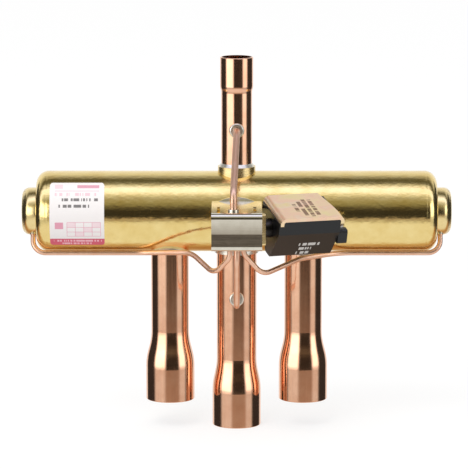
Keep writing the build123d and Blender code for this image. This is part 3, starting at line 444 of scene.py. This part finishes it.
# PTFE, sintered and turned: chalk white, waxy
dress(mouldedPlastic("WhitePtfe", whitePtfe), "piston_seal_left", "piston_seal_right")
print("plastics done")


# label: polyester film, a satin white, with painted shade that greys it towards its foot, where it turns
# down from the light, printed with plain blocks, a ruled table and rows of dashes. Sizes in mm
labelArt = {
    "paper": "#FBF6F5", "paintedFootShade": "#E9E4E2", "fadeTop": 0.3, "roughness": 0.33, "ior": 1.5,
    "rose": "#E08BA4", "pale": "#F3CFD8", "grey": "#5E5A5B", "band": "#D2536A", "bandPale": "#F3C3CC",
    "bandHeight": 4.2, "margin": 2.2, "fill": 0.56,
    "tableColumns": 4, "tableLines": 3, "cellWidth": 3.6, "cellHeight": 2.2, "rule": 0.22,
    "filledCells": [(0, 2), (1, 0), (2, 1), (3, 2)],
}


def labelFinish(look):
    material, tree = newMaterial("PrintedPolyesterFilm")
    place = addNode(tree, "ShaderNodeTexCoord").outputs["Object"]
    low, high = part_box("label")
    middle = (low.x + high.x) / 2
    width = (high.x - low.x) / mm
    topAngle = math.asin(min(1, (high.z - bodyCentre.z) / bodyRadius))
    bottomAngle = math.asin(max(-1, (low.z - bodyCentre.z) / bodyRadius))
    height = (topAngle - bottomAngle) * bodyRadius / mm
    centre = Vector((middle, bodyCentre.y, bodyCentre.z))
    across = measured(tree, place, centre, Vector((1, 0, 0)))
    forward = measured(tree, place, centre, Vector((0, -1, 0)))
    rise = measured(tree, place, centre, Vector((0, 0, 1)))
    angle = addNode(tree, "ShaderNodeMath", {"operation": "ARCTAN2"}, {0: rise, 1: forward}).outputs[0]
    # mm round the tube, from the label's middle
    halfway = (topAngle + bottomAngle) / 2 * bodyRadius / mm
    up = addNode(tree, "ShaderNodeMath", {"operation": "MULTIPLY_ADD"},
                 {0: angle, 1: bodyRadius / mm, 2: -halfway}).outputs[0]
    half, top = width / 2, height / 2
    # painted shade: the film goes from white at its top to a greyer colour at its foot, where it turns
    # down and less light falls
    footShadeAmount = addNode(tree, "ShaderNodeMapRange", {},
                   {"Value": up, "From Min": -top, "From Max": top * look["fadeTop"], "To Min": 1.0,
                    "To Max": 0.0})
    colour = addNode(tree, "ShaderNodeMix", {"data_type": "RGBA"},
                     {0: footShadeAmount.outputs[0], 6: linearColour(look["paper"]),
                      7: linearColour(look["paintedFootShade"])}).outputs[2]
    side = half - look["margin"]
    # left, right, bottom and top from the label's middle, then the ink and how strong it is
    solids = [
        ((side - 9.4, side, top - 3.1, top - 1.5), "rose", 0.8),
        ((-side, -side + 3.4, top - 3.4, top - 1.2), "pale", 0.7),
        ((-side, side, top - 4.7, top - 4.3), "pale", 0.9),
        ((-side, -side + 3.6, -top + 9.2, -top + 12.2), "rose", 0.85),
        ((-half, half, -top, -top + look["bandHeight"]), "band", 1.0),
    ]
    # the table, right of the rose block: some cells filled, then its rules
    cellWidth, cellHeight, rule = look["cellWidth"], look["cellHeight"], look["rule"]
    tableLeft, tableBottom = -side + 5.2, -top + 5.6
    tableRight = tableLeft + look["tableColumns"] * cellWidth
    tableTop = tableBottom + look["tableLines"] * cellHeight
    for column, line in look["filledCells"]:
        x, y = tableLeft + column * cellWidth, tableBottom + line * cellHeight
        solids.append(((x, x + cellWidth, y, y + cellHeight), "pale", 0.6))
    for i in range(look["tableColumns"] + 1):
        x = tableLeft + i * cellWidth
        solids.append(((x - rule / 2, x + rule / 2, tableBottom, tableTop), "rose", 0.75))
    for i in range(look["tableLines"] + 1):
        y = tableBottom + i * cellHeight
        solids.append(((tableLeft, tableRight, y - rule / 2, y + rule / 2), "rose", 0.75))
    for area, ink, strength in solids:
        colour = printed(tree, colour, block(tree, across, up, area), look[ink], strength)
    # the same four sides, then the ink, its strength, the usual dash and the seed
    rows = [
        ((-side, side - 1.0, top - 6.8, top - 5.4), "pale", 0.95, 0.8, 11),
        ((-side + 3.0, side - 0.4, top - 9.2, top - 7.9), "grey", 0.85, 0.9, 2),
        ((-side + 1.4, side - 4.2, top - 12.0, top - 10.7), "grey", 0.85, 0.9, 4),
        ((-half + 1.6, half - 1.2, -top + 2.4, -top + 3.5), "bandPale", 0.8, 0.8, 6),
        ((-half + 5.2, half - 5.6, -top + 0.7, -top + 1.8), "bandPale", 0.8, 0.8, 8),
    ]
    for area, ink, strength, dash, seed in rows:
        row = {"area": area, "dash": dash, "seed": seed, "fill": look["fill"]}
        colour = printed(tree, colour, dashes(tree, across, up, row), look[ink], strength)
    shader = addNode(tree, "ShaderNodeBsdfPrincipled", {},
                     {"Base Color": colour, "Roughness": look["roughness"], "IOR": look["ior"]})
    addNode(tree, "ShaderNodeOutputMaterial", {}, {"Surface": shader.outputs[0]})
    return material


dress(labelFinish(labelArt), "label")
print("label done")


# studio, seen only by reflections: a level for each direction from the object, angles in degrees.
# Round the horizon there is a dark flag ahead, a softbox on each side of it, a dark side and a white
# wall behind, and each of the edges is a soft step between two angles from straight ahead. The flag
# and the boxes change with elevation. The arch goes over the top from the front (0) to the back (180),
# and under it, and takes over between the two elevations of archEdge.
studio = {
    "diffuse": 0.78, "flagMiddle": 10.5, "sideFlag": 0.04,
    "flagEdge": (26, 42), "boxEdge": (70, 85), "wallEdge": (134, 142), "archEdge": (18.0, 32.0),
    "ringSpan": 30, "archSpan": 180,
    "centreFlag": [(-24, (0.85, 0.82, 0.76)), (-19, (0.44, 0.41, 0.37)), (-16, (0.46, 0.40, 0.35)),
                   (-12.9, (0.6, 0.47, 0.38)), (-12.3, (0.44, 0.35, 0.29)), (-11.5, (0.06, 0.05, 0.04)),
                   (-10.6, (0.035, 0.033, 0.027)), (10, (0.04, 0.034, 0.026)), (20, (0.13, 0.115, 0.08)),
                   (28, (0.3, 0.28, 0.18))],
    "leftBox": [(-16, 0.7), (-13, 0.72), (-11.4, 0.79), (-9.5, 0.92), (-8.4, 1.45), (-7.4, 2.2),
                (15, 2.6)],
    "rightBox": [(-16, 0.66), (-13, 0.68), (-11.4, 0.78), (-9.0, 0.9), (-7.6, 1.2), (-6.4, 1.9),
                 (15, 2.3)],
    "arch": [(-180, 1.0), (-155, 1.0), (-142, (0.6, 0.42, 0.3)), (-118, (0.46, 0.23, 0.1)),
             (-104, (0.66, 0.46, 0.26)), (-92, 0.92), (-27, 0.92), (-18, 0.75), (-15, 0.05),
             (20, (0.2, 0.185, 0.115)), (28, (0.3, 0.28, 0.18)), (37, (0.4, 0.375, 0.26)), (46, 0.5),
             (55, 0.85), (63, (1.35, 1.38, 1.75)), (76, (1.5, 1.52, 2.1)), (84, (0.95, 0.97, 1.15)),
             (90, 0.5), (97, 0.18), (104, (0.1, 0.095, 0.06)), (112, (0.13, 0.12, 0.08)), (120, 0.38),
             (137, 0.86), (160, 0.95), (180, 1.0)],
}


white = (1, 1, 1, 1)


def buildWorld(look):
    world = bpy.data.worlds.new("Studio")
    bpy.context.scene.world = world
    world.use_nodes = True
    tree = world.node_tree
    tree.nodes.clear()
    ray = addNode(tree, "ShaderNodeTexCoord").outputs["Generated"]
    x, y, z = addNode(tree, "ShaderNodeSeparateXYZ", {}, {0: ray}).outputs
    forward = addNode(tree, "ShaderNodeMath", {"operation": "MULTIPLY"}, {0: y, 1: -1.0}).outputs[0]
    turns = {}
    for name, operation, sockets in (("azimuth", "ARCTAN2", {0: x, 1: forward}),
                                     ("meridian", "ARCTAN2", {0: z, 1: forward}),
                                     ("elevation", "ARCSINE", {0: z})):
        radians = addNode(tree, "ShaderNodeMath", {"operation": operation}, sockets).outputs[0]
        turns[name] = addNode(tree, "ShaderNodeMath", {"operation": "DEGREES"}, {0: radians}).outputs[0]

    # a ramp for each list of levels
    levels = {}
    for name, source, span in (("centreFlag", "elevation", look["ringSpan"]),
                               ("leftBox", "elevation", look["ringSpan"]),
                               ("rightBox", "elevation", look["ringSpan"]),
                               ("arch", "meridian", look["archSpan"])):
        place = addNode(tree, "ShaderNodeMapRange", {},
                        {"Value": turns[source], "From Min": -span, "From Max": span})
        ramp = addNode(tree, "ShaderNodeValToRGB", {}, {"Fac": place.outputs[0]})
        stops = [((angle + span) / (2 * span), level) for angle, level in look[name]]
        levels[name] = setStops(ramp, stops)

    # from straight ahead outwards, each side: flag, softbox, dark side, white wall behind
    left = addNode(tree, "ShaderNodeMath", {"operation": "LESS_THAN"},
                   {0: turns["azimuth"], 1: look["flagMiddle"]})
    softbox = addNode(tree, "ShaderNodeMix", {"data_type": "RGBA"},
                      {0: left.outputs[0], 6: levels["rightBox"], 7: levels["leftBox"]}).outputs[2]
    offset = addNode(tree, "ShaderNodeMath", {"operation": "SUBTRACT"},
                     {0: turns["azimuth"], 1: look["flagMiddle"]})
    fromFlag = addNode(tree, "ShaderNodeMath", {"operation": "ABSOLUTE"},
                       {0: offset.outputs[0]}).outputs[0]
    away = addNode(tree, "ShaderNodeMath", {"operation": "ABSOLUTE"}, {0: turns["azimuth"]}).outputs[0]
    side = (look["sideFlag"], look["sideFlag"], look["sideFlag"], 1)
    ring = levels["centreFlag"]
    for turn, edge, level in ((fromFlag, "flagEdge", softbox), (away, "boxEdge", side),
                              (away, "wallEdge", white)):
        step = addNode(tree, "ShaderNodeMapRange", {"interpolation_type": "SMOOTHSTEP"},
                       {"Value": turn, "From Min": look[edge][0], "From Max": look[edge][1]})
        ring = addNode(tree, "ShaderNodeMix", {"data_type": "RGBA"},
                       {0: step.outputs[0], 6: ring, 7: level}).outputs[2]

    height = addNode(tree, "ShaderNodeMath", {"operation": "ABSOLUTE"}, {0: turns["elevation"]})
    high = addNode(tree, "ShaderNodeMapRange", {"interpolation_type": "SMOOTHSTEP"},
                   {"Value": height.outputs[0], "From Min": look["archEdge"][0],
                    "From Max": look["archEdge"][1]})
    colour = addNode(tree, "ShaderNodeMix", {"data_type": "RGBA"},
                     {0: high.outputs[0], 6: ring, 7: levels["arch"]}).outputs[2]

    # matt surfaces get an even light, glossy ones the studio, and the camera sees white
    path = addNode(tree, "ShaderNodeLightPath")
    shown = (look["diffuse"], look["diffuse"], look["diffuse"], 1)
    for kind, seen in (("Is Glossy Ray", colour), ("Is Camera Ray", white),
                       ("Is Transmission Ray", white)):
        shown = addNode(tree, "ShaderNodeMix", {"data_type": "RGBA"},
                        {0: path.outputs[kind], 6: shown, 7: seen}).outputs[2]
    background = addNode(tree, "ShaderNodeBackground", {}, {"Color": shown, "Strength": 1.0})
    addNode(tree, "ShaderNodeOutputWorld", {}, {"Surface": background.outputs[0]})


buildWorld(studio)

# one large soft lamp, up and to the left in front, for the matt surfaces and the shadow, in metres
keyLight = {"size": 0.9, "watts": 9.0, "from": (-0.5, -0.9, 1.3)}
lampData = bpy.data.lights.new("keySoftbox", "AREA")
lampData.size = keyLight["size"]
lampData.energy = keyLight["watts"]
lamp = bpy.data.objects.new("keySoftbox", lampData)
bpy.context.scene.collection.objects.link(lamp)
lamp.location = bodyCentre + Vector(keyLight["from"])
lamp.rotation_euler = (bodyCentre - lamp.location).to_track_quat("-Z", "Y").to_euler()
lamp.visible_glossy = False

# floor: white matt paint on a board. A share of it glows, to the camera alone, so that it shows white
# and keeps a faint shadow. It lies drop mm under the part. Metres
floorLook = {"size": 12.0, "drop": 0.02, "paint": "#F4F4F4", "glow": 1.15, "share": 0.62}
half = floorLook["size"] / 2
corners = [(-half, -half, 0), (half, -half, 0), (half, half, 0), (-half, half, 0)]
floorMesh = bpy.data.meshes.new("floor")
floorMesh.from_pydata(corners, [], [(0, 1, 2, 3)])
floor = bpy.data.objects.new("floor", floorMesh)
bpy.context.scene.collection.objects.link(floor)
floor.location.z = cadBox[0].z - floorLook["drop"] * mm
floor.visible_glossy = False
material, tree = newMaterial("WhitePaintedBoard")
path = addNode(tree, "ShaderNodeLightPath")
paint = addNode(tree, "ShaderNodeBsdfDiffuse", {}, {"Color": linearColour(floorLook["paint"])})
glow = addNode(tree, "ShaderNodeEmission", {}, {"Color": white, "Strength": floorLook["glow"]})
share = addNode(tree, "ShaderNodeMath", {"operation": "MULTIPLY"},
                {0: path.outputs["Is Camera Ray"], 1: floorLook["share"]})
mixed = addNode(tree, "ShaderNodeMixShader", {},
                {0: share.outputs[0], 1: paint.outputs[0], 2: glow.outputs[0]})
addNode(tree, "ShaderNodeOutputMaterial", {}, {"Surface": mixed.outputs[0]})
floorMesh.materials.append(material)

# camera: in front and a little above, in degrees and metres. aim is in mm from the body's middle
shot = {"elevation": 9.9, "distance": 1.35, "lens": 238.5, "aim": (-1.15, 0, -10.4), "clipEnd": 50}
cameraData = bpy.data.cameras.new("camera")
camera = bpy.data.objects.new("camera", cameraData)
bpy.context.scene.collection.objects.link(camera)
tilt = math.radians(shot["elevation"])
aim = bodyCentre + Vector(shot["aim"]) * mm
camera.location = aim + shot["distance"] * Vector((0, -math.cos(tilt), math.sin(tilt)))
camera.rotation_euler = (aim - camera.location).to_track_quat("-Z", "Y").to_euler()
cameraData.lens = shot["lens"]
cameraData.clip_end = shot["clipEnd"]
bpy.context.scene.camera = camera
bpy.context.scene.view_settings.view_transform = "Standard"
print("studio done")
